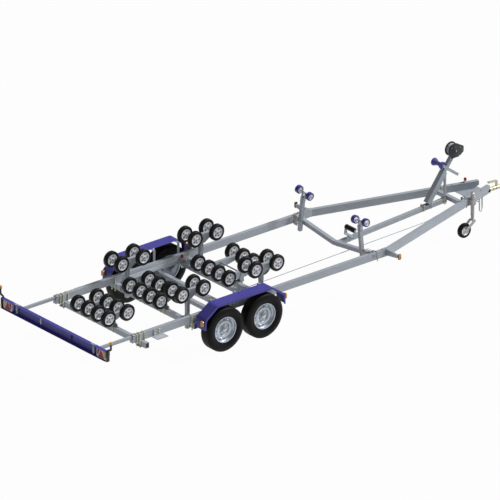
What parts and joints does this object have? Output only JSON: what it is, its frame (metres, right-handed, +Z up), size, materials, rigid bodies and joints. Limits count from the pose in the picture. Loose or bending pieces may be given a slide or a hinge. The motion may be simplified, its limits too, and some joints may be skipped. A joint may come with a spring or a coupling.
{
  "type": "boat trailer",
  "caption": "Tandem-axle boat trailer with rocking roller bogies, support rollers, winch post, jockey wheel, mudguards, sliding lighting bar and overrun ball coupling.",
  "frame": {"origin": "on the ground, at mid length and on the centre line", "axes": "+X forward to the coupling, +Y to the trailer's left, +Z up"},
  "size_m": [8.25, 2.4618, 1.3325],
  "materials": {
    "galvanised_steel": "hot-dip galvanised, dull",
    "zinc_plate": "yellow passivated zinc",
    "blue_paint": "gloss",
    "drum_paint": "satin",
    "rim_paint": "silver",
    "tyre": "matt",
    "roller_rubber": "matt",
    "blue_roller": "satin",
    "black_plastic": "matt",
    "lamp_red": "gloss",
    "lamp_amber": "gloss",
    "strap": "woven"
  },
  "bodies": {
    "chassis": {"brake_drums": "drum_paint", "brake_rod": "zinc_plate", "centre_tube": "galvanised_steel", "coupling_head": "zinc_plate", "cross_beams": "galvanised_steel", "jockey_clamp": "galvanised_steel", "mudguard_brackets": "galvanised_steel", "mudguards": "blue_paint", "overrun_body": "galvanised_steel", "roller_posts": "galvanised_steel", "side_arms": "galvanised_steel", "side_lamps": "lamp_amber", "side_rail_left": "galvanised_steel", "side_rail_right": "galvanised_steel", "step_plates": "galvanised_steel", "support_posts": "galvanised_steel", "torsion_axles": "galvanised_steel", "winch_frame": "black_plastic", "winch_post": "galvanised_steel"},
    "wheel_rear_left": {"tyre_rear_left": "tyre", "rim_rear_left": "rim_paint"},
    "wheel_rear_right": {"tyre_rear_right": "tyre", "rim_rear_right": "rim_paint"},
    "wheel_front_left": {"tyre_front_left": "tyre", "rim_front_left": "rim_paint"},
    "wheel_front_right": {"tyre_front_right": "tyre", "rim_front_right": "rim_paint"},
    "rocker_rear_left": {"rocker_rear_left": "galvanised_steel"},
    "rollers_rear_left_rear": {"rollers_rear_left_rear": "roller_rubber"},
    "rollers_rear_left_front": {"rollers_rear_left_front": "roller_rubber"},
    "rocker_rear_right": {"rocker_rear_right": "galvanised_steel"},
    "rollers_rear_right_rear": {"rollers_rear_right_rear": "roller_rubber"},
    "rollers_rear_right_front": {"rollers_rear_right_front": "roller_rubber"},
    "rocker_front_left": {"rocker_front_left": "galvanised_steel"},
    "rollers_front_left_rear": {"rollers_front_left_rear": "roller_rubber"},
    "rollers_front_left_front": {"rollers_front_left_front": "roller_rubber"},
    "rocker_front_right": {"rocker_front_right": "galvanised_steel"},
    "rollers_front_right_rear": {"rollers_front_right_rear": "roller_rubber"},
    "rollers_front_right_front": {"rollers_front_right_front": "roller_rubber"},
    "rocker_centre_rear": {"rocker_centre_rear": "galvanised_steel"},
    "rollers_centre_rear_rear": {"rollers_centre_rear_rear": "roller_rubber"},
    "rollers_centre_rear_front": {"rollers_centre_rear_front": "roller_rubber"},
    "rocker_centre_middle": {"rocker_centre_middle": "galvanised_steel"},
    "rollers_centre_middle_rear": {"rollers_centre_middle_rear": "roller_rubber"},
    "rollers_centre_middle_front": {"rollers_centre_middle_front": "roller_rubber"},
    "rocker_centre_front": {"rocker_centre_front": "galvanised_steel"},
    "rollers_centre_front_rear": {"rollers_centre_front_rear": "roller_rubber"},
    "rollers_centre_front_front": {"rollers_centre_front_front": "roller_rubber"},
    "support_rollers_left": {"support_rollers_left": "blue_roller"},
    "support_rollers_right": {"support_rollers_right": "blue_roller"},
    "keel_roller": {"keel_roller": "roller_rubber"},
    "bow_roller": {"bow_roller": "blue_roller"},
    "winch_drum": {"winch_drum": "strap"},
    "jockey_leg": {"jockey_leg": "galvanised_steel"},
    "jockey_wheel": {"jockey_wheel": "roller_rubber"},
    "light_bar": {"light_bar": "blue_paint", "light_bar_arms": "galvanised_steel", "tail_lamps": "lamp_red", "marker_stalks": "black_plastic"}
  },
  "joints": [
    {"name": "wheel_rear_left_spin", "type": "hinge", "parent": "chassis", "child": "wheel_rear_left", "pos_m": [-1.974, 1.0395, 0.325], "axis": [0, 1, 0], "continuous": true},
    {"name": "wheel_rear_right_spin", "type": "hinge", "parent": "chassis", "child": "wheel_rear_right", "pos_m": [-1.974, -1.0395, 0.325], "axis": [0, 1, 0], "continuous": true},
    {"name": "wheel_front_left_spin", "type": "hinge", "parent": "chassis", "child": "wheel_front_left", "pos_m": [-1.276, 1.0395, 0.325], "axis": [0, 1, 0], "continuous": true},
    {"name": "wheel_front_right_spin", "type": "hinge", "parent": "chassis", "child": "wheel_front_right", "pos_m": [-1.276, -1.0395, 0.325], "axis": [0, 1, 0], "continuous": true},
    {"name": "rocker_rear_left_rock", "type": "hinge", "parent": "chassis", "child": "rocker_rear_left", "pos_m": [-2.2798, 0.655, 0.832], "axis": [0, 1, 0], "range_deg": [-12, 12]},
    {"name": "rollers_rear_left_rear_spin", "type": "hinge", "parent": "rocker_rear_left", "child": "rollers_rear_left_rear", "pos_m": [-2.4718, 0.655, 0.872], "axis": [0, 1, 0], "continuous": true},
    {"name": "rollers_rear_left_front_spin", "type": "hinge", "parent": "rocker_rear_left", "child": "rollers_rear_left_front", "pos_m": [-2.0878, 0.655, 0.872], "axis": [0, 1, 0], "continuous": true},
    {"name": "rocker_rear_right_rock", "type": "hinge", "parent": "chassis", "child": "rocker_rear_right", "pos_m": [-2.2798, -0.655, 0.832], "axis": [0, 1, 0], "range_deg": [-12, 12]},
    {"name": "rollers_rear_right_rear_spin", "type": "hinge", "parent": "rocker_rear_right", "child": "rollers_rear_right_rear", "pos_m": [-2.4718, -0.655, 0.872], "axis": [0, 1, 0], "continuous": true},
    {"name": "rollers_rear_right_front_spin", "type": "hinge", "parent": "rocker_rear_right", "child": "rollers_rear_right_front", "pos_m": [-2.0878, -0.655, 0.872], "axis": [0, 1, 0], "continuous": true},
    {"name": "rocker_front_left_rock", "type": "hinge", "parent": "chassis", "child": "rocker_front_left", "pos_m": [-0.9698, 0.655, 0.832], "axis": [0, 1, 0], "range_deg": [-12, 12]},
    {"name": "rollers_front_left_rear_spin", "type": "hinge", "parent": "rocker_front_left", "child": "rollers_front_left_rear", "pos_m": [-1.1618, 0.655, 0.872], "axis": [0, 1, 0], "continuous": true},
    {"name": "rollers_front_left_front_spin", "type": "hinge", "parent": "rocker_front_left", "child": "rollers_front_left_front", "pos_m": [-0.7778, 0.655, 0.872], "axis": [0, 1, 0], "continuous": true},
    {"name": "rocker_front_right_rock", "type": "hinge", "parent": "chassis", "child": "rocker_front_right", "pos_m": [-0.9698, -0.655, 0.832], "axis": [0, 1, 0], "range_deg": [-12, 12]},
    {"name": "rollers_front_right_rear_spin", "type": "hinge", "parent": "rocker_front_right", "child": "rollers_front_right_rear", "pos_m": [-1.1618, -0.655, 0.872], "axis": [0, 1, 0], "continuous": true},
    {"name": "rollers_front_right_front_spin", "type": "hinge", "parent": "rocker_front_right", "child": "rollers_front_right_front", "pos_m": [-0.7778, -0.655, 0.872], "axis": [0, 1, 0], "continuous": true},
    {"name": "rocker_centre_rear_rock", "type": "hinge", "parent": "chassis", "child": "rocker_centre_rear", "pos_m": [-3.251, 0, 0.597], "axis": [0, 1, 0], "range_deg": [-12, 12]},
    {"name": "rollers_centre_rear_rear_spin", "type": "hinge", "parent": "rocker_centre_rear", "child": "rollers_centre_rear_rear", "pos_m": [-3.418, 0, 0.637], "axis": [0, 1, 0], "continuous": true},
    {"name": "rollers_centre_rear_front_spin", "type": "hinge", "parent": "rocker_centre_rear", "child": "rollers_centre_rear_front", "pos_m": [-3.084, 0, 0.637], "axis": [0, 1, 0], "continuous": true},
    {"name": "rocker_centre_middle_rock", "type": "hinge", "parent": "chassis", "child": "rocker_centre_middle", "pos_m": [-2.335, 0, 0.597], "axis": [0, 1, 0], "range_deg": [-12, 12]},
    {"name": "rollers_centre_middle_rear_spin", "type": "hinge", "parent": "rocker_centre_middle", "child": "rollers_centre_middle_rear", "pos_m": [-2.501, 0, 0.637], "axis": [0, 1, 0], "continuous": true},
    {"name": "rollers_centre_middle_front_spin", "type": "hinge", "parent": "rocker_centre_middle", "child": "rollers_centre_middle_front", "pos_m": [-2.169, 0, 0.637], "axis": [0, 1, 0], "continuous": true},
    {"name": "rocker_centre_front_rock", "type": "hinge", "parent": "chassis", "child": "rocker_centre_front", "pos_m": [-0.975, 0, 0.584], "axis": [0, 1, 0], "range_deg": [-12, 12]},
    {"name": "rollers_centre_front_rear_spin", "type": "hinge", "parent": "rocker_centre_front", "child": "rollers_centre_front_rear", "pos_m": [-1.282, 0, 0.624], "axis": [0, 1, 0], "continuous": true},
    {"name": "rollers_centre_front_front_spin", "type": "hinge", "parent": "rocker_centre_front", "child": "rollers_centre_front_front", "pos_m": [-0.668, 0, 0.624], "axis": [0, 1, 0], "continuous": true},
    {"name": "support_rollers_left_spin", "type": "hinge", "parent": "chassis", "child": "support_rollers_left", "pos_m": [0.8498, 0.60783, 0.975], "axis": [0, 0.9921, 0.1253], "continuous": true},
    {"name": "support_rollers_right_spin", "type": "hinge", "parent": "chassis", "child": "support_rollers_right", "pos_m": [0.8498, -0.60783, 0.975], "axis": [0, 0.9921, -0.1253], "continuous": true},
    {"name": "keel_roller_spin", "type": "hinge", "parent": "chassis", "child": "keel_roller", "pos_m": [1.175, 0, 0.55], "axis": [0, 1, 0], "continuous": true},
    {"name": "bow_roller_spin", "type": "hinge", "parent": "chassis", "child": "bow_roller", "pos_m": [2.7609, 0, 1.08068], "axis": [0, 1, 0], "continuous": true},
    {"name": "winch_drum_spin", "type": "hinge", "parent": "chassis", "child": "winch_drum", "pos_m": [3.01198, 0, 1.22855], "axis": [0, 1, 0], "continuous": true},
    {"name": "jockey_leg_slide", "type": "slide", "parent": "chassis", "child": "jockey_leg", "axis": [0, 0, 1], "range_m": [-0.12, 0.055]},
    {"name": "jockey_wheel_spin", "type": "hinge", "parent": "jockey_leg", "child": "jockey_wheel", "pos_m": [2.975, -0.30632, 0.1075], "axis": [0, 1, 0], "continuous": true},
    {"name": "light_bar_slide", "type": "slide", "parent": "chassis", "child": "light_bar", "axis": [-1, 0, 0], "range_m": [-0.2, 0.25]}
  ]
}
